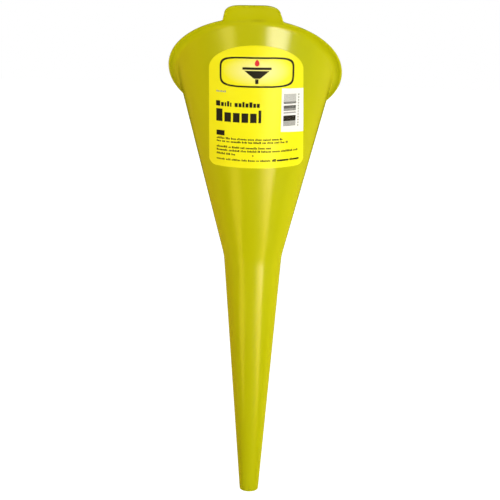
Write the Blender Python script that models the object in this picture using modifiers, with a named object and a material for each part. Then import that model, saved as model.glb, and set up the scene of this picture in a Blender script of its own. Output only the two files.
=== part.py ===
"""A long-necked funnel: a moulded body with a slanted mouth, a turned-out lip and a grip tab, and its label.

The origin is the centre of the spout's outlet. +Z runs up the axis towards the mouth. The high side of
the mouth, the grip tab and the label face -Y.
"""

import math

import bmesh
import bpy
from mathutils import Matrix, Vector

# Spout and bowl, in metres.
OUTLET_RADIUS = 0.0076
NECK_RADIUS = 0.02275
SPOUT_LENGTH = 0.200
NECK_FILLET = 0.050
BOWL_ANGLE = math.radians(14.3)
WALL = 0.0016
OUTLET_WALL = 0.0014

# The mouth is cut on a slant. Its plane crosses the axis at this height.
MOUTH_HEIGHT = 0.335
MOUTH_SLANT = math.radians(36.0)

# The lip, measured from the crease where it leaves the bowl: outwards in the mouth's plane, and up from it.
LIP_WIDTH = 0.0073
LIP_TOP = 0.0043
LIP_EDGE = 0.0010
LIP_EDGE_SET_BACK = 0.0005
LIP_LAND = 0.0020
LIP_SWEEP_START = 0.0012
LIP_SWEEP_END = math.radians(8.0)
INNER_CREASE_RISE = 0.0019
INNER_CREASE_ROUND = 0.0015

# The grip tab continues the lip on the high side.
TAB_LENGTH = 0.0173
TAB_ROOT_HALF_WIDTH = 0.0225
TAB_END_HALF_WIDTH = 0.0185
TAB_CORNER = 0.0120
TAB_THICKNESS = 0.0009
TAB_SET_DOWN = 0.0001
TAB_ROOT_OVERLAP = 0.0012

# The label, as it is seen from the front: straight sides, an arched top and rounded lower corners.
LABEL_TOP_HALF_WIDTH = 0.0343
LABEL_FOOT_HALF_WIDTH = 0.0356
LABEL_BOTTOM = 0.2790
LABEL_SHOULDER = 0.3550
LABEL_TOP = 0.3737
LABEL_CORNER = 0.0055
LABEL_TURN = math.radians(2.9)
LABEL_SHIFT = 0.0001
LABEL_LEAN = math.radians(1.0)
LABEL_GAP = 0.0003
LABEL_THICKNESS = 0.0003

# How finely the round shapes are divided.
BODY_SEGMENTS = 96
FILLET_STEPS = 5
SWEEP_STEPS = 7
CORNER_STEPS = 6
LABEL_COLUMNS = 24
LABEL_ROWS = 16
ARCH_ROWS = 10

BODY_COLOUR = (0.60, 0.55, 0.003, 1.0)
LABEL_COLOUR = (0.95, 0.84, 0.02, 1.0)

PLANE_NORMAL = Vector((0.0, math.sin(MOUTH_SLANT), math.cos(MOUTH_SLANT)))


def clear_scene():
    for obj in list(bpy.data.objects):
        bpy.data.objects.remove(obj, do_unlink=True)


def new_collection(name):
    collection = bpy.data.collections.new(name)
    bpy.context.scene.collection.children.link(collection)
    return collection


def new_material(name, colour, roughness):
    material = bpy.data.materials.new(name)
    material.use_nodes = True
    shader = material.node_tree.nodes["Principled BSDF"]
    shader.inputs["Base Color"].default_value = colour
    shader.inputs["Roughness"].default_value = roughness
    shader.inputs["Metallic"].default_value = 0.0
    return material


def bowl_radius(z):
    """Outer radius of the bowl's cone at a height."""
    return NECK_RADIUS + (z - SPOUT_LENGTH) * math.tan(BOWL_ANGLE)


def bezier(start, control, end, steps):
    """Points along a quadratic curve, both ends included."""
    points = []
    for step in range(steps + 1):
        t = step / steps
        points.append(start * (1 - t) ** 2 + control * (2 * t * (1 - t)) + end * t**2)
    return points


def neck_profile(outlet_radius, neck_radius):
    """Radius and height from the outlet up through the rounded neck, as (r, z) vectors."""
    outlet = Vector((outlet_radius, 0.0))
    neck = Vector((neck_radius, SPOUT_LENGTH))
    below = (outlet - neck).normalized()
    above = Vector((math.sin(BOWL_ANGLE), math.cos(BOWL_ANGLE)))
    turn = below.angle(-above)
    reach = NECK_FILLET * math.tan(turn / 2)
    return [outlet] + bezier(neck + below * reach, neck, neck + above * reach, FILLET_STEPS)


def azimuths():
    """Angles round the axis, from the high side at -Y towards +X."""
    return [2 * math.pi * i / BODY_SEGMENTS for i in range(BODY_SEGMENTS)]


def level_ring(profile_point):
    radius, height = profile_point
    return [Vector((radius * math.sin(a), -radius * math.cos(a), height)) for a in azimuths()]


def slanted_point(axis_radius, axis_height, azimuth):
    """Where the cone of this radius at this height meets a plane of the mouth's slant through the axis there."""
    lean = math.tan(BOWL_ANGLE) * math.tan(MOUTH_SLANT) * math.cos(azimuth)
    radius = axis_radius / (1 - lean)
    rise = radius * math.cos(azimuth) * math.tan(MOUTH_SLANT)
    return Vector((radius * math.sin(azimuth), -radius * math.cos(azimuth), axis_height + rise))


def crease_frame(azimuth):
    """The outer crease's point, the direction up the wall, and the outward direction in the mouth's plane."""
    axis_radius = bowl_radius(MOUTH_HEIGHT)
    point = slanted_point(axis_radius, MOUTH_HEIGHT, azimuth)
    nudge = 1e-4
    ahead = slanted_point(axis_radius, MOUTH_HEIGHT, azimuth + nudge)
    behind = slanted_point(axis_radius, MOUTH_HEIGHT, azimuth - nudge)
    outward = (ahead - behind).cross(PLANE_NORMAL).normalized()
    sine = math.sin(BOWL_ANGLE)
    up_wall = Vector((sine * math.sin(azimuth), -sine * math.cos(azimuth), math.cos(BOWL_ANGLE)))
    return point, up_wall, outward


def sweep_control(up_wall, outward):
    """Where the wall's own line, carried on past the crease, meets the nearly flat end of the lip's sweep."""
    end_slope = math.tan(LIP_SWEEP_END)
    run = up_wall.dot(outward)
    rise = up_wall.dot(PLANE_NORMAL)
    level = LIP_TOP - LIP_EDGE - (LIP_WIDTH - LIP_EDGE_SET_BACK) * end_slope
    reach = level / (rise - run * end_slope)
    return run * reach, rise * reach


def lip_section(azimuth):
    """One section through the lip: up the outside, over the edge and down to the inner wall."""
    crease, up_wall, outward = crease_frame(azimuth)

    def at(out, rise):
        return crease + outward * out + PLANE_NORMAL * rise

    edge_low = at(LIP_WIDTH - LIP_EDGE_SET_BACK, LIP_TOP - LIP_EDGE)
    edge_middle = at(LIP_WIDTH, LIP_TOP - LIP_EDGE + LIP_EDGE_SET_BACK)
    outside = bezier(
        crease - up_wall * LIP_SWEEP_START, at(*sweep_control(up_wall, outward)), edge_low, SWEEP_STEPS
    )
    land = [edge_middle, at(LIP_WIDTH, LIP_TOP), at(LIP_WIDTH - LIP_LAND, LIP_TOP)]
    inner_radius = bowl_radius(MOUTH_HEIGHT) - WALL / math.cos(BOWL_ANGLE)
    shift = INNER_CREASE_RISE / math.cos(MOUTH_SLANT)
    inner_radius += shift * math.tan(BOWL_ANGLE)
    inner = slanted_point(inner_radius, MOUTH_HEIGHT + shift, azimuth)
    slope = (land[-1] - inner).normalized()
    reach = INNER_CREASE_ROUND
    inside = bezier(inner + slope * reach, inner, inner - up_wall * reach, FILLET_STEPS)
    return outside + land + inside


def body_rings():
    """Rings up the outside, over the lip and back down the inside."""
    outer = [level_ring(p) for p in neck_profile(OUTLET_RADIUS, NECK_RADIUS)]
    sections = [lip_section(a) for a in azimuths()]
    lip = [list(ring) for ring in zip(*sections)]
    inner_neck = NECK_RADIUS - WALL / math.cos(BOWL_ANGLE)
    inner = [level_ring(p) for p in neck_profile(OUTLET_RADIUS - OUTLET_WALL, inner_neck)]
    return outer + lip + inner[::-1]


def make_body(collection, material):
    mesh = bmesh.new()
    rings = [[mesh.verts.new(p) for p in ring] for ring in body_rings()]
    for here, there in zip(rings, rings[1:] + rings[:1]):
        for i in range(BODY_SEGMENTS):
            j = (i + 1) % BODY_SEGMENTS
            mesh.faces.new((here[i], here[j], there[j], there[i]))
    bmesh.ops.recalc_face_normals(mesh, faces=mesh.faces)
    data = bpy.data.meshes.new("funnel_body")
    mesh.to_mesh(data)
    mesh.free()
    data.materials.append(material)
    body = bpy.data.objects.new("funnel_body", data)
    collection.objects.link(body)
    return body


def tab_outline():
    """The tab's outline in the mouth's plane: x across, y up the slant from the axis."""
    up_slant = Vector((0.0, -math.cos(MOUTH_SLANT), math.sin(MOUTH_SLANT)))
    centre = Vector((0.0, 0.0, MOUTH_HEIGHT))

    def in_plane(azimuth, out):
        crease, _, outward = crease_frame(azimuth)
        point = crease + outward * out - centre
        return Vector((point.x, point.dot(up_slant)))

    root_reach = LIP_WIDTH - TAB_ROOT_OVERLAP
    half_angle = math.asin(TAB_ROOT_HALF_WIDTH / in_plane(0.0, root_reach).y) * 1.19
    steps = 2 * CORNER_STEPS
    root = [in_plane(half_angle * (2 * i / steps - 1), root_reach) for i in range(steps + 1)]
    end_y = in_plane(0.0, LIP_WIDTH).y + TAB_LENGTH
    right = root[-1]
    corner = Vector((TAB_END_HALF_WIDTH, end_y))
    down = (right - corner).normalized()
    across = Vector((-1.0, 0.0))
    rounded = bezier(corner + down * TAB_CORNER, corner, corner + across * TAB_CORNER, CORNER_STEPS)
    return root + rounded + [Vector((-p.x, p.y)) for p in reversed(rounded)]


def make_tab_blank(collection):
    """The tab as a flat plate, a little thinner than the lip's edge that it grows out of."""
    curve = bpy.data.curves.new("tab_blank", "CURVE")
    curve.dimensions = "2D"
    curve.fill_mode = "BOTH"
    curve.extrude = TAB_THICKNESS / 2
    outline = tab_outline()
    spline = curve.splines.new("POLY")
    spline.points.add(len(outline) - 1)
    for point, place in zip(spline.points, outline):
        point.co = (place.x, place.y, 0.0, 1.0)
    spline.use_cyclic_u = True
    flat = bpy.data.objects.new("tab_curve", curve)
    collection.objects.link(flat)
    middle = LIP_TOP - TAB_SET_DOWN - TAB_THICKNESS / 2
    place = Matrix.Translation(Vector((0.0, 0.0, MOUTH_HEIGHT)) + PLANE_NORMAL * middle)
    flat.matrix_world = place @ Matrix.Rotation(math.pi - MOUTH_SLANT, 4, "X")
    bpy.context.view_layer.update()
    graph = bpy.context.evaluated_depsgraph_get()
    data = bpy.data.meshes.new_from_object(flat.evaluated_get(graph))
    mesh = bmesh.new()
    mesh.from_mesh(data)
    bmesh.ops.remove_doubles(mesh, verts=mesh.verts, dist=1e-6)
    bmesh.ops.recalc_face_normals(mesh, faces=mesh.faces)
    mesh.to_mesh(data)
    mesh.free()
    blank = bpy.data.objects.new("tab_blank", data)
    blank.matrix_world = flat.matrix_world
    collection.objects.link(blank)
    bpy.data.objects.remove(flat, do_unlink=True)
    blank.hide_render = True
    blank.display_type = "WIRE"
    return blank


def join_tab(body, blank):
    union = body.modifiers.new("tab", "BOOLEAN")
    union.operation = "UNION"
    union.object = blank
    union.solver = "EXACT"


def label_half_width(z):
    """Half the label's width, seen from the front, at a height."""
    if z > LABEL_SHOULDER:
        climb = (z - LABEL_SHOULDER) / (LABEL_TOP - LABEL_SHOULDER)
        return LABEL_TOP_HALF_WIDTH * math.sqrt(max(0.0, 1 - climb**2))
    share = (LABEL_SHOULDER - z) / (LABEL_SHOULDER - LABEL_BOTTOM)
    half = LABEL_TOP_HALF_WIDTH + share * (LABEL_FOOT_HALF_WIDTH - LABEL_TOP_HALF_WIDTH)
    low = LABEL_BOTTOM + LABEL_CORNER - z
    if low > 0:
        half += math.sqrt(max(0.0, LABEL_CORNER**2 - low**2)) - LABEL_CORNER
    return half


def label_heights():
    """Rows up the label, closer together round the corners and the arch."""
    corner = [
        LABEL_BOTTOM + LABEL_CORNER * (1 - math.cos(math.pi / 2 * i / CORNER_STEPS))
        for i in range(CORNER_STEPS)
    ]
    side_foot = LABEL_BOTTOM + LABEL_CORNER
    side = [side_foot + (LABEL_SHOULDER - side_foot) * i / LABEL_ROWS for i in range(LABEL_ROWS)]
    arch = [
        LABEL_SHOULDER + (LABEL_TOP - LABEL_SHOULDER) * math.sin(math.pi / 2 * (i + 0.05) / (ARCH_ROWS + 0.3))
        for i in range(ARCH_ROWS + 1)
    ]
    return corner + side + arch


def make_label(collection, material):
    """The label as an open sheet wrapped on the bowl, then thickened outwards."""
    mesh = bmesh.new()
    turn = Matrix.Rotation(LABEL_TURN, 3, "Z")
    rows = []
    for z in label_heights():
        radius = bowl_radius(z) + LABEL_GAP / math.cos(BOWL_ANGLE)
        half = label_half_width(z)
        middle = LABEL_SHIFT + (LABEL_SHOULDER - z) * math.tan(LABEL_LEAN)
        row = []
        for column in range(LABEL_COLUMNS + 1):
            x = middle + half * (2 * column / LABEL_COLUMNS - 1)
            row.append(mesh.verts.new(turn @ Vector((x, -math.sqrt(radius**2 - x**2), z))))
        rows.append(row)
    for low, high in zip(rows, rows[1:]):
        for i in range(LABEL_COLUMNS):
            mesh.faces.new((low[i], low[i + 1], high[i + 1], high[i]))
    data = bpy.data.meshes.new("label")
    mesh.to_mesh(data)
    mesh.free()
    data.materials.append(material)
    label = bpy.data.objects.new("label", data)
    collection.objects.link(label)
    thicken = label.modifiers.new("thickness", "SOLIDIFY")
    thicken.thickness = LABEL_THICKNESS
    thicken.offset = 1.0
    return label


def main():
    clear_scene()
    parts = new_collection("funnel")
    helpers = new_collection("helpers")
    body = make_body(parts, new_material("yellow_plastic", BODY_COLOUR, 0.32))
    join_tab(body, make_tab_blank(helpers))
    label = make_label(parts, new_material("label_film", LABEL_COLOUR, 0.4))
    for obj in (body, label):
        obj.data.shade_smooth()
        obj.data.set_sharp_from_angle(angle=math.radians(30.0))


main()
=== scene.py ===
"""The look of the long-neck funnel: a fine moulded shell, its printed label, a pale studio and the camera.

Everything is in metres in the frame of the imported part: the origin is the centre of the spout's outlet,
+Z runs up the axis to the mouth, and -Y is the high side with the grip tab and the label.
"""

import math
import random

import bpy
import numpy as np
from mathutils import Matrix, Vector


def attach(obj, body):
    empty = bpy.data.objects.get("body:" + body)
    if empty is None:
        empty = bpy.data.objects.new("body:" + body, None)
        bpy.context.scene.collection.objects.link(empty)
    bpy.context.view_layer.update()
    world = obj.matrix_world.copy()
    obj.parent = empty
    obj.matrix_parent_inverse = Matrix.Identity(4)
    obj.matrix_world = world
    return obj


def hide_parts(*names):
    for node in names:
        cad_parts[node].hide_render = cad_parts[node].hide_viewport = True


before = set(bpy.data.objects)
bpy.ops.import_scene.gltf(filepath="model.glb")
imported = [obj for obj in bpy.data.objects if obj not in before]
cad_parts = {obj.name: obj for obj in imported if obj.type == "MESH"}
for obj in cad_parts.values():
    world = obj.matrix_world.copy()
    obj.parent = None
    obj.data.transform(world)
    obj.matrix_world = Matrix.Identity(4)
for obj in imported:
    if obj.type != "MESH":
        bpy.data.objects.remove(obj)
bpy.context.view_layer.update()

MM = 0.001

# The body's driving sizes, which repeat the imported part's.
OUTLET_RADIUS = 7.6 * MM
OUTLET_WALL = 1.4 * MM
NECK_RADIUS = 22.75 * MM
NECK_HEIGHT = 200 * MM
NECK_FILLET = 50 * MM
BOWL_ANGLE = math.radians(14.3)
WALL = 1.6 * MM
MOUTH_HEIGHT = 335 * MM
MOUTH_SLANT = math.radians(36.0)
LIP_WIDTH = 7.3 * MM
LIP_TOP = 4.3 * MM
LIP_EDGE = 1.0 * MM
LIP_LAND = 2.0 * MM
SWEEP_START = 1.2 * MM
SWEEP_END_SLOPE = math.tan(math.radians(8.0))
INNER_CREASE_RISE = 1.9 * MM
INNER_CREASE_ROUND = 1.5 * MM
TAB_LENGTH = 17.3 * MM
TAB_ROOT_HALF = 22.5 * MM
TAB_END_HALF = 18.5 * MM

# Finer sizes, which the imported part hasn't or has in a simpler form.
TAB_LEFT_ROOT_HALF = 20.9 * MM
TAB_LEFT_END_HALF = 18.1 * MM
TAB_CORNER = 10 * MM
TAB_ARCH = 0.4 * MM
TAB_FILLET = 1.5 * MM
TAB_ROOT_RADIUS = 90 * MM
TAB_TILT = 0.014
TAB_SHIFT = 0.5 * MM
TAB_BLEND = 4 * MM
TAB_BEAD = 0.30 * MM
LIP_BEAD = 0.20 * MM
BEAD_RISE = 0.5 * MM
BEAD_REACH = 2.1 * MM
BEAD_FALL = 1.0 * MM
LIP_HIGH_EXTRA = 0.45 * MM
LIP_EXTRA_ENDS = math.radians(82)
LIP_EXTRA_FADE = math.radians(32)
SWEEP_REACH = 2.3 * MM
SWEEP_RUN_OUT = 1.15
LAND_ROUND = 0.4 * MM
OUTLET_ROUND = 0.35 * MM
OUTLET_INNER_ROUND = 0.3 * MM

# The label, with x across and z up as seen from its front.
LABEL_TURN = math.radians(2.9)
LABEL_BOTTOM = 279 * MM
LABEL_SHOULDER = 355 * MM
LABEL_TOP = 373.7 * MM
LABEL_TOP_HALF = 34.3 * MM
LABEL_FOOT_HALF = 35.6 * MM
LABEL_CORNER = 5.5 * MM
LABEL_SHIFT = 0.1 * MM
LABEL_LEAN = math.tan(math.radians(1.0))
FILM_LOW = 0.03 * MM
FILM_HIGH = 0.20 * MM
INK_HEIGHT = 0.03 * MM
FINE_WEIGHT = 0.62
GLOW_MIDDLE = (3.7 * MM, 354.5 * MM)
GLOW_HALF = (25 * MM, 12 * MM)

# The painted shade under the tab's root: a faint darker oval where the tab has a moulded mark that the shell
# doesn't model.
PAINTED_SHADE_MIDDLE = (5.0 * MM, 391.8 * MM)
PAINTED_SHADE_HALF = (7 * MM, 1.8 * MM)

NORMAL = np.array([0.0, math.sin(MOUTH_SLANT), math.cos(MOUTH_SLANT)])
UP_SLANT = np.array([0.0, -math.cos(MOUTH_SLANT), math.sin(MOUTH_SLANT)])
CENTRE = np.array([0.0, 0.0, MOUTH_HEIGHT])

LIP_SECTIONS = 250
TAB_SECTIONS = 131


# ---------------------------------------------------------------- geometry helpers


def bezier(start, control, end, steps):
    """Points along a curve that leaves start and reaches end, both towards control."""
    t = np.linspace(0, 1, steps + 1)[:, None]
    return start * (1 - t) ** 2 + control * (2 * t * (1 - t)) + end * t**2


def bowl_radius(z):
    return NECK_RADIUS + (z - NECK_HEIGHT) * math.tan(BOWL_ANGLE)


def smooth_step(share):
    return share * share * (3 - 2 * share)


def slanted_point(axis_radius, axis_height, azimuth):
    """Where the slanted plane that crosses the axis at a height cuts the cone of that radius there."""
    lean = math.tan(BOWL_ANGLE) * math.tan(MOUTH_SLANT) * math.cos(azimuth)
    radius = axis_radius / (1 - lean)
    rise = radius * math.cos(azimuth) * math.tan(MOUTH_SLANT)
    return np.array([radius * math.sin(azimuth), -radius * math.cos(azimuth), axis_height + rise])


def crease_point(azimuth):
    """Where the bowl's outside would meet the mouth's plane."""
    return slanted_point(bowl_radius(MOUTH_HEIGHT), MOUTH_HEIGHT, azimuth)


def crease_outward(azimuth):
    """The direction in the mouth's plane that points straight away from the crease."""
    step = 1e-4
    along = crease_point(azimuth + step) - crease_point(azimuth - step)
    outward = np.cross(along, NORMAL)
    return outward / np.linalg.norm(outward)


def in_plane(point):
    """A point's place in the mouth's plane: across, and up the slant."""
    return np.array([point[0], (point - CENTRE) @ UP_SLANT])


def new_mesh(name, points, faces, material, smooth=True):
    data = bpy.data.meshes.new(name)
    data.from_pydata([tuple(p) for p in points], [], faces)
    data.validate()
    data.update()
    if smooth:
        data.shade_smooth()
    data.materials.append(material)
    piece = bpy.data.objects.new(name, data)
    bpy.context.scene.collection.objects.link(piece)
    return piece


# ---------------------------------------------------------------- the moulded shell


def lip_edge(azimuth):
    """The lip's outer edge in the mouth's plane, a little wider on the high side."""
    turn = math.atan2(math.sin(azimuth), math.cos(azimuth))
    share = min(1.0, max(0.0, (LIP_EXTRA_ENDS - abs(turn)) / LIP_EXTRA_FADE))
    width = LIP_WIDTH + LIP_HIGH_EXTRA * smooth_step(share)
    return in_plane(crease_point(azimuth) + crease_outward(azimuth) * width)


def lip_azimuth(half):
    """The azimuth at which the lip's edge is that far across, found by halving."""
    low, high = 0.0, math.radians(40)
    for _ in range(50):
        middle = (low + high) / 2
        if lip_edge(middle)[0] < half:
            low = middle
        else:
            high = middle
    return low


def tab_side(root_half, end_half, side):
    """One side of the tab's outline, from where it leaves the lip to the middle of its end.

    It returns the outline with the azimuth at which it leaves the lip.
    """
    root_azimuth = lip_azimuth(root_half)
    root = lip_edge(root_azimuth)
    top = lip_edge(0.0)[1] + TAB_LENGTH
    corner = np.array([end_half, top])
    down = (root - corner) / np.linalg.norm(root - corner)
    rounded = bezier(corner + down * TAB_CORNER, corner, corner - np.array([TAB_CORNER, 0.0]), 40)
    flat_x = np.linspace(end_half - TAB_CORNER, 0, 12)[1:]
    end = np.concatenate([rounded, np.stack([flat_x, np.full_like(flat_x, top)], axis=1)])
    end[:, 1] += TAB_ARCH * (0.5 - (end[:, 0] / end_half) ** 2)
    leaves = root_azimuth + TAB_FILLET / TAB_ROOT_RADIUS
    foot = root + (end[0] - root) * (TAB_FILLET / np.linalg.norm(end[0] - root))
    path = np.concatenate([bezier(lip_edge(leaves), root, foot, 16), end])
    climb = np.clip((path[:, 1] - root[1]) / TAB_LENGTH, 0, 1)
    path[:, 0] *= side
    path[:, 1] += path[:, 0] * TAB_TILT * climb
    path[:, 0] += TAB_SHIFT * climb
    return path, leaves


def lengths_along(path):
    """The distance along a path at each of its points."""
    return np.concatenate([[0.0], np.cumsum(np.linalg.norm(np.diff(path, axis=0), axis=1))])


def points_along(path, lengths, places):
    """The points of a path at the given distances along it."""
    columns = [np.interp(places, lengths, path[:, axis]) for axis in range(path.shape[1])]
    return np.stack(columns, axis=1)


def between(start, end, steps):
    """Points on the straight line from start to end, with both ends left out."""
    return [start + (end - start) * share for share in np.linspace(0, 1, steps + 1)[1:-1]]


def outline():
    """Pairs of crease azimuth and outer edge point, all the way round from the tab's right root."""
    right, right_azimuth = tab_side(TAB_ROOT_HALF, TAB_END_HALF, 1)
    left, left_azimuth = tab_side(TAB_LEFT_ROOT_HALF, TAB_LEFT_END_HALF, -1)
    pairs = []
    for step in range(LIP_SECTIONS):
        azimuth = right_azimuth + (2 * math.pi - right_azimuth - left_azimuth) * step / LIP_SECTIONS
        pairs.append((azimuth, lip_edge(azimuth)))
    path = np.concatenate([left, right[:-1][::-1]])
    lengths = lengths_along(path)
    tab = points_along(path, lengths, np.linspace(0, lengths[-1], TAB_SECTIONS))
    for step in range(TAB_SECTIONS - 1):
        azimuth = -left_azimuth + (left_azimuth + right_azimuth) * step / (TAB_SECTIONS - 1)
        pairs.append((azimuth, tab[step]))
    return pairs


def neck_profile(outlet_radius, neck_radius, rounding):
    """Points (radius, height) from the outlet to just above the neck.

    The outlet's corner is rounded, towards the axis or, where rounding is negative, away from it.
    """
    outlet = np.array([outlet_radius, 0.0])
    neck = np.array([neck_radius, NECK_HEIGHT])
    spout = (neck - outlet) / np.linalg.norm(neck - outlet)
    bowl = np.array([math.sin(BOWL_ANGLE), math.cos(BOWL_ANGLE)])
    turn = math.acos(spout @ bowl)
    reach = NECK_FILLET * math.tan(turn / 2)
    inward = np.array([-rounding, 0.0])
    tip = bezier(outlet + inward, outlet, outlet + spout * abs(rounding), 4)
    share = np.linspace(0, 1, 15)[1:-1, None]
    run = tip[-1] + (neck - spout * reach - tip[-1]) * share
    return np.concatenate([tip, run, bezier(neck - spout * reach, neck, neck + bowl * reach, 10)])


class Station:
    """The directions at one azimuth of the mouth, from the crease to the outline's edge."""

    def __init__(self, azimuth, edge):
        self.azimuth = azimuth
        self.turn = np.array([math.sin(azimuth), -math.cos(azimuth), 0.0])
        self.up_wall = math.sin(BOWL_ANGLE) * self.turn + np.array([0.0, 0.0, math.cos(BOWL_ANGLE)])
        self.crease = crease_point(azimuth)
        self.outward = crease_outward(azimuth)
        start = in_plane(self.crease)
        self.reach = np.linalg.norm(edge - start)
        flat = (edge - start) / self.reach
        self.away = np.array([flat[0], 0.0, 0.0]) + UP_SLANT * flat[1]
        self.stretch = 1 / max(0.35, self.away @ self.outward)
        self.sweep_end = (LIP_WIDTH - LIP_EDGE / 2) * self.stretch
        self.far = max(self.reach - LIP_EDGE / 2, self.sweep_end + 1e-5)

    def at(self, out, rise):
        """The point that far out from the crease and that far above the mouth's plane."""
        return self.crease + self.away * out + NORMAL * rise

    def turned_profile(self, outlet_radius, neck_radius, rounding):
        profile = neck_profile(outlet_radius, neck_radius, rounding)
        return [radius * self.turn + np.array([0, 0, z]) for radius, z in profile]


def swept_underside(station, wall_head):
    """The sweep, which leaves along the wall, ends nearly flat and runs on as the tab's underside."""
    low = LIP_TOP - LIP_EDGE
    sweep_end = LIP_WIDTH - LIP_EDGE / 2
    run, rise = station.up_wall @ station.outward, station.up_wall @ NORMAL
    k = (low - sweep_end * SWEEP_END_SLOPE) / (rise - run * SWEEP_END_SLOPE)
    bend = station.at(run * k * station.stretch, rise * k)
    lip_flat = station.at(station.sweep_end, low) - bend
    lip_flat = lip_flat / np.linalg.norm(lip_flat)
    climb = (bend - wall_head) / np.linalg.norm(bend - wall_head)
    bend_start = bend - climb * min(SWEEP_REACH, 0.9 * np.linalg.norm(bend - wall_head))
    return np.concatenate([
        [wall_head],
        bezier(bend_start, bend, bend + lip_flat * SWEEP_REACH * SWEEP_RUN_OUT, 16),
        [station.at(station.sweep_end, low)],
        [station.at(station.far, low)],
    ])


def underside(station, wall_head):
    """The sweep's points spaced along it, closer near the edge, with the bead pressed out of it."""
    path = swept_underside(station, wall_head)
    lengths = lengths_along(path)
    total = lengths[-1]
    near_edge = np.array([2.4, 2.0, 1.7, 1.4, 1.1, 0.8, 0.5, 0.25, 0.0]) * MM
    places = np.concatenate([np.linspace(0, total - near_edge[0], 26)[:-1], total - near_edge])
    on_tab = min(1.0, max(0.0, (station.reach - LIP_WIDTH) / TAB_BLEND))
    from_edge = total - places
    share = np.clip(np.minimum(from_edge / BEAD_RISE, (BEAD_REACH - from_edge) / BEAD_FALL), 0, 1)
    bead = (LIP_BEAD + (TAB_BEAD - LIP_BEAD) * on_tab) * smooth_step(share)
    return points_along(path, lengths, places) - NORMAL * bead[:, None]


def rim_and_top(station):
    """The rounded edge and the lip's flat top, in as far as its inner land."""
    low, half_edge = LIP_TOP - LIP_EDGE, LIP_EDGE / 2
    rim = []
    for angle in np.linspace(-math.pi / 2, math.pi / 2, 9)[1:]:
        out = station.far + half_edge * math.cos(angle)
        rim.append(station.at(out, low + half_edge + half_edge * math.sin(angle)))
    land_inner = (LIP_WIDTH - LIP_LAND) * station.stretch
    places = station.far + (land_inner + LAND_ROUND - station.far) * np.linspace(0, 1, 11)[1:]
    return [*rim, *(station.at(out, LIP_TOP) for out in places)]


def inner_side(station, land_edge):
    """From the end of the lip's top, over the inner crease and down the inside to the outlet."""
    shift = INNER_CREASE_RISE / math.cos(MOUTH_SLANT)
    wall_radius = WALL / math.cos(BOWL_ANGLE)
    radius = bowl_radius(MOUTH_HEIGHT) - wall_radius + shift * math.tan(BOWL_ANGLE)
    inner = slanted_point(radius, MOUTH_HEIGHT + shift, station.azimuth)
    corner = station.at((LIP_WIDTH - LIP_LAND) * station.stretch, LIP_TOP)
    slope = (inner - corner) / np.linalg.norm(inner - corner)
    shoulder = bezier(land_edge, corner, corner + slope * LAND_ROUND, 4)[1:]
    fall_end = inner - slope * INNER_CREASE_ROUND
    fall = between(shoulder[-1], fall_end, 4)
    bend = bezier(fall_end, inner, inner - station.up_wall * INNER_CREASE_ROUND, 8)
    neck_radius = NECK_RADIUS - wall_radius
    bore = station.turned_profile(OUTLET_RADIUS - OUTLET_WALL, neck_radius, -OUTLET_INNER_ROUND)
    return [*shoulder, *fall, *bend, *between(bend[-1], bore[-1], 15), *bore[::-1]]


def section(azimuth, edge):
    """One closed section of the shell, from the outlet up the outside, over the lip and down the inside."""
    station = Station(azimuth, edge)
    outside = station.turned_profile(OUTLET_RADIUS, NECK_RADIUS, OUTLET_ROUND)
    wall_head = station.crease - station.up_wall * SWEEP_START
    wall = between(outside[-1], wall_head, 21)
    top = rim_and_top(station)
    rows = [*outside, *wall, *underside(station, wall_head), *top, *inner_side(station, top[-1])]
    return np.array(rows)


def make_shell(material):
    sections = [section(azimuth, edge) for azimuth, edge in outline()]
    columns, rows = len(sections), len(sections[0])
    points = np.concatenate(sections)
    faces = []
    for i in range(columns):
        j = (i + 1) % columns
        for row in range(rows):
            nxt = (row + 1) % rows
            faces.append((i * rows + row, j * rows + row, j * rows + nxt, i * rows + nxt))
    return new_mesh("funnel_shell", points, faces, material)


# ---------------------------------------------------------------- the label


def label_middle(z):
    return LABEL_SHIFT + (LABEL_SHOULDER - z) * LABEL_LEAN


def label_half(z):
    if z > LABEL_SHOULDER:
        climb = min(1.0, (z - LABEL_SHOULDER) / (LABEL_TOP - LABEL_SHOULDER))
        return LABEL_TOP_HALF * math.sqrt(1 - climb**2)
    share = (LABEL_SHOULDER - z) / (LABEL_SHOULDER - LABEL_BOTTOM)
    half = LABEL_TOP_HALF + share * (LABEL_FOOT_HALF - LABEL_TOP_HALF)
    low = min(LABEL_CORNER, LABEL_BOTTOM + LABEL_CORNER - z)
    if low > 0:
        half += math.sqrt(LABEL_CORNER**2 - low**2) - LABEL_CORNER
    return half


def wrap(x, z, lift):
    """The point on the bowl seen at x from the label's front, lifted off the surface."""
    radius = bowl_radius(z) + lift / math.cos(BOWL_ANGLE)
    y = -math.sqrt(radius**2 - x**2)
    c, s = math.cos(LABEL_TURN), math.sin(LABEL_TURN)
    return (c * x - s * y, s * x + c * y, z)


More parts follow.
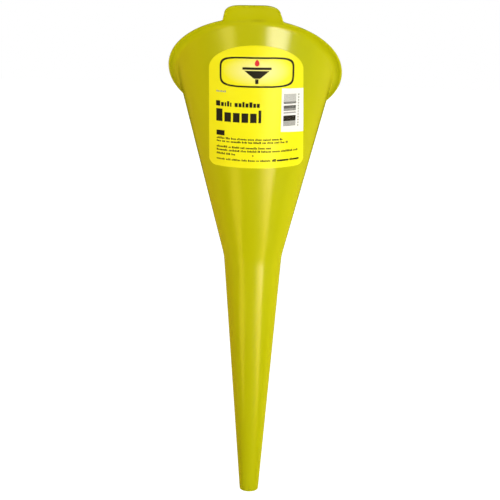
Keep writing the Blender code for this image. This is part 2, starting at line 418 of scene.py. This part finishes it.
class Sheet:
    """Collects thin patches that follow the bowl, each a closed solid between two heights."""

    def __init__(self, low, high):
        self.low, self.high = low, high
        self.points, self.faces = [], []

    def grid(self, rows):
        """Adds a patch from rows of (x, z), each row the same length."""
        height, width = len(rows), len(rows[0])
        base = len(self.points)
        for lift in (self.high, self.low):
            for row in rows:
                self.points.extend(wrap(x, z, lift) for x, z in row)
        under = height * width

        def vertex(r, c, side):
            return base + side * under + r * width + c

        for r in range(height - 1):
            for c in range(width - 1):
                quad = [(r, c), (r, c + 1), (r + 1, c + 1), (r + 1, c)]
                self.faces.append([vertex(a, b, 0) for a, b in quad])
                self.faces.append([vertex(a, b, 1) for a, b in reversed(quad)])
        border = [(0, c) for c in range(width - 1)]
        border += [(r, width - 1) for r in range(height - 1)]
        border += [(height - 1, c) for c in range(width - 1, 0, -1)]
        border += [(r, 0) for r in range(height - 1, 0, -1)]
        for here, there in zip(border, border[1:] + border[:1]):
            low_side = [vertex(*here, 1), vertex(*there, 1)]
            self.faces.append([*low_side, vertex(*there, 0), vertex(*here, 0)])

    def spans(self, levels, left, right):
        """Adds a patch between two sides given as functions of height."""
        widest = max(right(z) - left(z) for z in levels)
        columns = max(1, math.ceil(widest / (1.2 * MM)))
        rows = []
        for z in levels:
            width = right(z) - left(z)
            rows.append([(left(z) + width * c / columns, z) for c in range(columns + 1)])
        self.grid(rows)

    def bar(self, x0, x1, z0, z1):
        """Adds an upright box."""
        self.spans([z0, z1], lambda z: x0, lambda z: x1)

    def ring(self, outer, inner, count=120):
        """Adds a closed band between two outlines given as functions of angle."""
        base = len(self.points)
        for step in range(count):
            angle = 2 * math.pi * step / count
            above = [wrap(*outer(angle), self.high), wrap(*inner(angle), self.high)]
            below = [wrap(*inner(angle), self.low), wrap(*outer(angle), self.low)]
            self.points.extend(above + below)
        for step in range(count):
            here = base + step * 4
            there = base + (step + 1) % count * 4
            for k in range(4):
                m = (k + 1) % 4
                self.faces.append([here + k, here + m, there + m, there + k])

    def make(self, name, material):
        return new_mesh(name, self.points, self.faces, material, smooth=False)


def label_levels():
    """The heights of the film's rows: round the lower corners, up the sides and over the arch."""
    corner = [LABEL_BOTTOM + LABEL_CORNER * (1 - math.cos(math.pi / 2 * i / 8)) for i in range(8)]
    foot = LABEL_BOTTOM + LABEL_CORNER
    side = [foot + (LABEL_SHOULDER - foot) * i / 40 for i in range(40)]
    rise = LABEL_TOP - LABEL_SHOULDER
    arch = [LABEL_SHOULDER + rise * math.sin(math.pi / 2 * (i + 0.05) / 24.3) for i in range(25)]
    return corner + side + arch


def make_film(material):
    sheet = Sheet(FILM_LOW, FILM_HIGH)
    levels = label_levels()
    sheet.spans(levels, lambda z: label_middle(z) - label_half(z), lambda z: label_middle(z) + label_half(z))
    piece = sheet.make("label_film", material)
    piece.data.shade_smooth()
    piece.data.set_sharp_from_angle(angle=math.radians(30))
    return piece


def lozenge(half_width, half_height, power, middle_x, middle_z):
    """A rounded outline as a function of angle: an oval at power 2, squarer as it rises."""

    def place(angle):
        c, s = math.cos(angle), math.sin(angle)
        size = (abs(c / half_width) ** power + abs(s / half_height) ** power) ** (-1 / power)
        return middle_x + c * size, middle_z + s * size

    return place


def blocks(sheet, x, z0, height, widths, gap):
    """A run of plain blocks that stands for a line of print. A width of None leaves a word space."""
    for index, width in enumerate(widths):
        if width is None:
            x += gap * 2.5
            continue
        tall = height * (1.0 + (0.32 if index % 5 in (0, 3) else 0.0))
        sheet.bar(x, x + width, z0, z0 + tall)
        x += width + gap


def fine_print(sheet, draw, x0, x1, z0, height, weight=FINE_WEIGHT):
    """One line of small print as tiny plain blocks in words. The weight widens the blocks."""
    x = x0
    left = draw.randint(3, 8)
    while x < x1:
        width = draw.uniform(0.45, 0.95) * MM
        tall = height * draw.choice((0.72, 0.72, 1.0))
        sheet.bar(x, x + width * weight / FINE_WEIGHT, z0, z0 + tall)
        x += width + 0.28 * MM
        left -= 1
        if left == 0:
            x += 0.75 * MM
            left = draw.randint(2, 9)


# The badge: a plain rounded frame round a pictogram, with its middle, half sizes and line.
BADGE_X, BADGE_Z = 0.7 * MM, 353.5 * MM
BADGE_HALF_WIDTH = 27 * MM
BADGE_HALF_HEIGHT = 11.5 * MM
BADGE_LINE = 1.3 * MM
BADGE_POWER = 5

# The left edge of the small print, and the blocks of the two lines of larger print, in mm.
PRINT_LEFT = -28.3 * MM
MEDIUM_WIDTHS = (3.1, 2.0, 1.1, 1.6, 1.0, None, 2.3, 2.1, 1.6, 2.2, 2.2, 2.0, 2.1)
LARGE_WIDTHS = (4.6, 4.9, 4.9, 4.9, 4.7, 2.0)
LARGE_LEFT = -28.7 * MM
LARGE_FOOT = 314.9
LARGE_GAP = 1.42

# The lines of small print: foot and right end in mm.
SMALL_LINES = ((301.0, 20.0), (298.6, 24.5), (294.2, 12.0), (291.6, 32.5), (288.6, -14.5))

# The white box with its bars, in mm, and the bars' pitch.
BOX_LEFT, BOX_BOTTOM, BOX_HEIGHT = 19.1, 307.7, 33.7
BOX_DROP, BOX_GROWTH = 1.3, 0.7
BARS_LEFT, BARS_RIGHT = 20.7 * MM, 29.8 * MM
BAR_PITCH = 0.52 * MM

# The bars as bands: lowest and highest point in mm, and the share of the band that is ink.
BAR_BANDS = (
    (312.1, 315.8, 0.52),
    (315.8, 320.2, 0.97),
    (322.0, 323.2, 0.60),
    (324.0, 326.0, 0.62),
    (326.0, 328.2, 0.84),
    (329.4, 330.9, 0.72),
    (330.9, 337.1, 0.36),
)


def add_funnel(sheet, cx, cz):
    """A rim, a cup and a stem, round the badge's middle."""
    sheet.bar(cx - 10.5 * MM, cx + 10.5 * MM, cz + 2.0 * MM, cz + 3.8 * MM)
    foot = cz - 4.6 * MM
    sheet.spans(
        [foot, cz - 1.7 * MM, cz + 1.2 * MM],
        lambda z: cx - 2.2 * MM - (z - foot) * 1.2,
        lambda z: cx + 2.2 * MM + (z - foot) * 1.2,
    )
    sheet.bar(cx - 1.2 * MM, cx + 1.2 * MM, cz - 8.6 * MM, cz - 5.0 * MM)


def add_drop(sheet, cx, foot, height):
    def half(z):
        share = (z - foot) / height
        return 3.8 * MM * math.sqrt(max(0.0, share)) * max(0.0, 1 - share) ** 0.75 + 0.02 * MM

    levels = [foot + height * (1 - math.cos(math.pi * (i + 0.04) / 14.08)) / 2 for i in range(15)]
    sheet.spans(levels, lambda z: cx - half(z), lambda z: cx + half(z))


def add_badge(black, red):
    cx, cz = BADGE_X, BADGE_Z
    wide, tall = BADGE_HALF_WIDTH, BADGE_HALF_HEIGHT
    black.ring(
        lozenge(wide, tall, BADGE_POWER, cx, cz),
        lozenge(wide - BADGE_LINE, tall - BADGE_LINE, BADGE_POWER, cx, cz),
    )
    add_funnel(black, cx, cz)
    add_drop(red, cx, cz + 4.6 * MM, 5 * MM)


def add_lines(black, grey):
    """Every line of print as plain blocks, with a plain block where the small mark is."""
    draw = random.Random(11)
    blocks(grey, -28.6 * MM, 337.6 * MM, 1.0 * MM, [0.8 * MM] * 3 + [0.9 * MM] * 3, 0.35 * MM)
    medium = [width and width * MM for width in MEDIUM_WIDTHS]
    blocks(black, -28.9 * MM, 326.8 * MM, 3.1 * MM, medium, 0.65 * MM)
    x = LARGE_LEFT
    for index, width in enumerate(LARGE_WIDTHS):
        tall = 9.8 if index in (0, 5) else 7.3
        black.bar(x, x + width * MM, LARGE_FOOT * MM, (LARGE_FOOT + tall) * MM)
        x += (width + LARGE_GAP) * MM

    black.bar(-28.5 * MM, -22.5 * MM, 303.8 * MM, 307.8 * MM)

    for foot, end in SMALL_LINES:
        fine_print(black, draw, PRINT_LEFT, end * MM, foot * MM, 1.6 * MM)
    fine_print(black, draw, PRINT_LEFT, 12.0 * MM, 284.3 * MM, 1.5 * MM)
    fine_print(black, draw, 13.2 * MM, 32.5 * MM, 284.2 * MM, 1.9 * MM, 0.85)
    black.bar(-1.6 * MM, -0.9 * MM, 288.4 * MM, 289.6 * MM)


def box_rows():
    """The white box's grid: it runs to the label's right edge and droops a little towards it."""
    rows = []
    for level in range(9):
        row = []
        for column in range(13):
            share = column / 12
            foot = BOX_BOTTOM * MM - BOX_DROP * MM * share
            z = foot + (BOX_HEIGHT * MM + BOX_GROWTH * MM * share) * level / 8
            right = label_middle(z) + label_half(z) - 0.02 * MM
            row.append((BOX_LEFT * MM + (right - BOX_LEFT * MM) * share, z))
        rows.append(row)
    return rows


def add_code(white, bars, grey):
    """The white box, its bars, and the row of small marks beside them. It holds no number."""
    white.grid(box_rows())
    for low, high, cover in BAR_BANDS:
        z = low * MM
        while z < high * MM - 0.2 * MM:
            bars.bar(BARS_LEFT, BARS_RIGHT, z, min(z + BAR_PITCH * cover, high * MM))
            z += BAR_PITCH
    for step in range(12):
        z = 311.4 * MM + step * 2.2 * MM
        grey.bar(31.2 * MM, 32.1 * MM, z, z + 1.1 * MM)


def make_print(materials):
    """Five layers of ink: three on the film, and two on top of those."""
    top = FILM_HIGH
    black = Sheet(top, top + INK_HEIGHT)
    white = Sheet(top, top + INK_HEIGHT)
    red = Sheet(top, top + INK_HEIGHT)
    grey = Sheet(top + INK_HEIGHT, top + 2 * INK_HEIGHT)
    bars = Sheet(top + INK_HEIGHT, top + 2 * INK_HEIGHT)
    add_badge(black, red)
    add_lines(black, grey)
    add_code(white, bars, grey)
    return [
        black.make("print_black", materials["black"]),
        white.make("print_white", materials["white"]),
        red.make("print_red", materials["red"]),
        grey.make("print_grey", materials["grey"]),
        bars.make("print_bars", materials["black"]),
    ]


# ---------------------------------------------------------------- materials


PLASTIC_DARK = (0.502, 0.503, 0.0005, 1)
PLASTIC_LIGHT = (0.526, 0.528, 0.0006, 1)
# The last tone is painted shade, the darker plastic of the faint mark under the tab's root.
PLASTIC_PAINTED_SHADE = (0.43, 0.415, 0.0006, 1)
FILM_DARK = (0.905, 0.855, 0.005, 1)
FILM_LIGHT = (0.92, 0.875, 0.010, 1)
FILM_GLOW = (0.94, 0.92, 0.34, 1)

# The inks: their two tones and their roughness.
INKS = {
    "black": ((0.014, 0.013, 0.008, 1), (0.022, 0.020, 0.012, 1), 0.45),
    "white": ((0.90, 0.90, 0.90, 1), (0.94, 0.94, 0.94, 1), 0.5),
    "red": ((0.72, 0.022, 0.040, 1), (0.78, 0.030, 0.050, 1), 0.45),
    "grey": ((0.30, 0.30, 0.28, 1), (0.36, 0.36, 0.34, 1), 0.5),
}


def new_material(name):
    material = bpy.data.materials.new(name)
    material.use_nodes = True
    return material, material.node_tree, material.node_tree.nodes["Principled BSDF"]


def noise(tree, coordinates, scale, detail, rough=0.5, distort=0.0):
    node = tree.nodes.new("ShaderNodeTexNoise")
    node.inputs["Scale"].default_value = scale
    node.inputs["Detail"].default_value = detail
    node.inputs["Roughness"].default_value = rough
    node.inputs["Distortion"].default_value = distort
    tree.links.new(coordinates, node.inputs["Vector"])
    return node.outputs["Fac"]


def spread(tree, value, low, high, from_low=0.3, from_high=0.7):
    node = tree.nodes.new("ShaderNodeMapRange")
    numbers = {"From Min": from_low, "From Max": from_high, "To Min": low, "To Max": high}
    for socket, number in numbers.items():
        node.inputs[socket].default_value = number
    tree.links.new(value, node.inputs["Value"])
    return node.outputs["Result"]


def blend_colours(tree, factor, first, second, first_link=None):
    """A mix from first to second by the factor. A link, where given, takes the place of first."""
    node = tree.nodes.new("ShaderNodeMix")
    node.data_type = "RGBA"
    node.inputs[6].default_value = first
    node.inputs[7].default_value = second
    if first_link is not None:
        tree.links.new(first_link, node.inputs[6])
    tree.links.new(factor, node.inputs[0])
    return node.outputs[2]


def bump(tree, height, strength, distance, before=None):
    node = tree.nodes.new("ShaderNodeBump")
    node.inputs["Strength"].default_value = strength
    node.inputs["Distance"].default_value = distance
    tree.links.new(height, node.inputs["Height"])
    if before is not None:
        tree.links.new(before, node.inputs["Normal"])
    return node.outputs["Normal"]


def scaled(tree, coordinates, factors):
    node = tree.nodes.new("ShaderNodeMapping")
    node.inputs["Scale"].default_value = factors
    tree.links.new(coordinates, node.inputs["Vector"])
    return node.outputs["Vector"]


def spot(tree, coordinates, middle, half):
    """One at the middle of an oval seen from the front, falling to nothing at its edge."""
    shift = tree.nodes.new("ShaderNodeMapping")
    shift.inputs["Scale"].default_value = (1 / half[0], 0, 1 / half[1])
    shift.inputs["Location"].default_value = (-middle[0] / half[0], 0, -middle[1] / half[1])
    tree.links.new(coordinates, shift.inputs["Vector"])
    radial = tree.nodes.new("ShaderNodeTexGradient")
    radial.gradient_type = "SPHERICAL"
    tree.links.new(shift.outputs["Vector"], radial.inputs["Vector"])
    return radial.outputs["Fac"]


def plastic():
    material, tree, shader = new_material("yellow_plastic")
    place = tree.nodes.new("ShaderNodeTexCoord").outputs["Object"]
    cloud = noise(tree, scaled(tree, place, (1, 1, 0.5)), 22, 3)
    tone = blend_colours(tree, spread(tree, cloud, 0, 1), PLASTIC_DARK, PLASTIC_LIGHT)
    # Painted shade: the plastic darkens in an oval under the tab's root.
    mark = spread(tree, spot(tree, place, PAINTED_SHADE_MIDDLE, PAINTED_SHADE_HALF), 0, 0.8, 0.0, 0.8)
    tone = blend_colours(tree, mark, PLASTIC_LIGHT, PLASTIC_PAINTED_SHADE, tone)
    tree.links.new(tone, shader.inputs["Base Color"])
    smear = noise(tree, scaled(tree, place, (1, 1, 0.12)), 90, 4)
    tree.links.new(spread(tree, smear, 0.16, 0.23), shader.inputs["Roughness"])
    shader.inputs["IOR"].default_value = 1.52
    peel = bump(tree, noise(tree, place, 650, 2), 0.10, 0.0004)
    flow = bump(tree, noise(tree, scaled(tree, place, (1, 1, 0.06)), 160, 3), 0.06, 0.0005, peel)
    tree.links.new(flow, shader.inputs["Normal"])
    return material


def film():
    material, tree, shader = new_material("label_film")
    place = tree.nodes.new("ShaderNodeTexCoord").outputs["Object"]
    cloud = noise(tree, place, 35, 3)
    tone = blend_colours(tree, spread(tree, cloud, 0, 1), FILM_DARK, FILM_LIGHT)
    glow = spread(tree, spot(tree, place, GLOW_MIDDLE, GLOW_HALF), 0, 0.85, 0.0, 0.6)
    tone = blend_colours(tree, glow, FILM_LIGHT, FILM_GLOW, tone)
    tree.links.new(tone, shader.inputs["Base Color"])
    tree.links.new(spread(tree, noise(tree, place, 120, 3), 0.34, 0.42), shader.inputs["Roughness"])
    shader.inputs["Specular IOR Level"].default_value = 0.17
    ripple = bump(tree, noise(tree, place, 900, 2), 0.05, 0.0002)
    tree.links.new(ripple, shader.inputs["Normal"])
    return material


def ink(name, first, second, roughness):
    material, tree, shader = new_material(name)
    shader.inputs["Specular IOR Level"].default_value = 0.1
    place = tree.nodes.new("ShaderNodeTexCoord").outputs["Object"]
    speckle = noise(tree, place, 1400, 2)
    tone = blend_colours(tree, spread(tree, speckle, 0, 1), first, second)
    tree.links.new(tone, shader.inputs["Base Color"])
    tree.links.new(spread(tree, speckle, roughness - 0.04, roughness + 0.04), shader.inputs["Roughness"])
    return material


# ---------------------------------------------------------------- studio


# The turn from the part's front to the camera's side, and the camera's place and aim in mm.
FRONT = math.radians(2.88)
CAMERA_PLACE = (-2.21, -1084.02, 503.35)
CAMERA_TARGET = (-2.21, 0, 203.95)
CAMERA_ROLL = math.radians(0.94)
LENS = 102.6

FLOOR_REACH, FLOOR_HEIGHT = 6.0, -0.60
AROUND_COLOUR = (0.76, 1.0, 0.92, 1)
AROUND_STRENGTH = 0.27


def turned(x, y, z):
    """A place in mm as seen from the camera's side, turned into the part's frame in metres."""
    c, s = math.cos(FRONT), math.sin(FRONT)
    return Vector((c * x - s * y, s * x + c * y, z)) * MM


def panel(name, place, aim, width, height, radiance):
    """A soft box at a place, facing a point, with the radiance of its face in red, green and blue."""
    strongest = max(radiance)
    light = bpy.data.lights.new(name, "AREA")
    light.shape = "RECTANGLE"
    light.size, light.size_y = width * MM, height * MM
    light.energy = strongest * math.pi * light.size * light.size_y
    light.color = [share / strongest for share in radiance]
    holder = bpy.data.objects.new(name, light)
    holder.location = place
    holder.rotation_euler = (aim - place).to_track_quat("-Z", "Z").to_euler()
    holder.visible_camera = False
    bpy.context.scene.collection.objects.link(holder)
    return holder


# The broad boxes that light the plastic: name, degrees round from the camera, height, radiance.
# These radiances and the strips' were fitted to the photograph's tones, so many of them are tinted.
BROAD = (
    ("left_high", -40, 320, (3.35, 2.95, 2.5)),
    ("left_low", -40, 60, (1.50, 0.35, 0.2)),
    ("far_left", -85, 320, (0.85, 0.25, 0.15)),
    ("right_high", 30, 320, (1.60, 1.25, 1.1)),
    ("right_low", 30, 60, (3.80, 4.35, 3.9)),
    ("far_right", 75, 320, (2.60, 2.75, 2.4)),
    ("far_right_low", 75, 60, (1.80, 0.50, 0.4)),
    ("back_right", 120, 250, (3.05, 2.20, 2.0)),
    ("back", 180, 300, (3.6, 3.3, 3.0)),
    ("back_left", -145, 250, (2.6, 2.35, 2.1)),
)
BROAD_DISTANCE = 450
BROAD_WIDTH, BROAD_HEIGHT = 250, 300

# The strips whose reflections make the bands of glare: name, place, lowest and highest point, width
# and radiance.
STRIPS = (
    ("key_foot", (195, -285), -75, -45, 245, (5.0, 2.9, 0.3)),
    ("key_low", (195, -285), -45, 20, 245, (3.1, 2.2, 0.8)),
    ("key_middle", (182, -293), 20, 60, 225, (3.2, 2.0, 0.6)),
    ("key_high", (172, -300), 60, 130, 215, (6.6, 4.7, 3.4)),
    ("key_top", (157, -305), 130, 260, 145, (9.5, 8.8, 7.6)),
    ("left_low", (-240, -230), -70, 60, 160, (3.0, 2.1, 0.3)),
    ("left_top", (-232, -246), 130, 400, 75, (4.4, 3.6, 1.2)),
    ("backdrop_left", (-500, 420), -900, 420, 800, (0.62, 0.38, 0.03)),
    ("backdrop_right", (500, 420), -900, 420, 800, (0.75, 0.64, 0.06)),
)


def make_lights():
    for name, degrees, height, radiance in BROAD:
        azimuth = math.radians(degrees)
        x, y = BROAD_DISTANCE * math.sin(azimuth), -BROAD_DISTANCE * math.cos(azimuth)
        aim = turned(0, 0, height)
        lamp = panel(name, turned(x, y, height), aim, BROAD_WIDTH, BROAD_HEIGHT, radiance)
        lamp.visible_glossy = False
    place, aim = turned(-60, -120, -420), turned(0, 0, 370)
    below = panel("below", place, aim, 400, 400, (1.05, 1.1, 0.9))
    below.visible_glossy = False
    for name, (x, y), low, high, width, radiance in STRIPS:
        middle = (low + high) / 2
        strip = panel(name, turned(x, y, middle), turned(0, 0, middle), width, high - low, radiance)
        strip.visible_diffuse = False


def make_world():
    """White behind the object, and a dimmer tinted light around it that makes no reflections."""
    world = bpy.data.worlds.new("studio")
    bpy.context.scene.world = world
    world.use_nodes = True
    world.cycles_visibility.glossy = False
    tree = world.node_tree
    tree.nodes.clear()
    path = tree.nodes.new("ShaderNodeLightPath")
    seen = tree.nodes.new("ShaderNodeBackground")
    seen.inputs["Color"].default_value = (1, 1, 1, 1)
    around = tree.nodes.new("ShaderNodeBackground")
    around.inputs["Color"].default_value = AROUND_COLOUR
    around.inputs["Strength"].default_value = AROUND_STRENGTH
    mix = tree.nodes.new("ShaderNodeMixShader")
    out = tree.nodes.new("ShaderNodeOutputWorld")
    tree.links.new(path.outputs["Is Camera Ray"], mix.inputs[0])
    tree.links.new(around.outputs[0], mix.inputs[1])
    tree.links.new(seen.outputs[0], mix.inputs[2])
    tree.links.new(mix.outputs[0], out.inputs[0])


def make_floor():
    """A pale floor that glows as white as the world, and lights and mirrors nothing."""
    material, _, shader = new_material("pale_floor")
    shader.inputs["Base Color"].default_value = (0.8, 0.8, 0.8, 1)
    shader.inputs["Roughness"].default_value = 0.9
    shader.inputs["Emission Color"].default_value = (1, 1, 1, 1)
    shader.inputs["Emission Strength"].default_value = 1.0
    corners = [(-1, -1), (1, -1), (1, 1), (-1, 1)]
    points = [(x * FLOOR_REACH, y * FLOOR_REACH, FLOOR_HEIGHT) for x, y in corners]
    floor = new_mesh("floor", points, [(0, 1, 2, 3)], material, smooth=False)
    floor.visible_glossy = False
    floor.visible_diffuse = False


def make_camera():
    data = bpy.data.cameras.new("camera")
    data.lens = LENS
    data.sensor_width = 36.0
    data.clip_start, data.clip_end = 0.05, 50.0
    camera = bpy.data.objects.new("camera", data)
    bpy.context.scene.collection.objects.link(camera)
    camera.location = turned(*CAMERA_PLACE)
    aim = turned(*CAMERA_TARGET) - camera.location
    facing = aim.to_track_quat("-Z", "Y").to_matrix().to_4x4()
    camera.rotation_euler = (facing @ Matrix.Rotation(CAMERA_ROLL, 4, "Z")).to_euler()
    bpy.context.scene.camera = camera
    bpy.context.scene.view_settings.view_transform = "Standard"


# ---------------------------------------------------------------- build


make_camera()
make_lights()
make_world()
make_floor()

shell = make_shell(plastic())
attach(shell, "root")
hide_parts("funnel_body")

label = make_film(film())
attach(label, "root")
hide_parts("label")

inks = {name: ink("print_" + name, *look) for name, look in INKS.items()}
for piece in make_print(inks):
    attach(piece, "root")

bpy.context.view_layer.update()
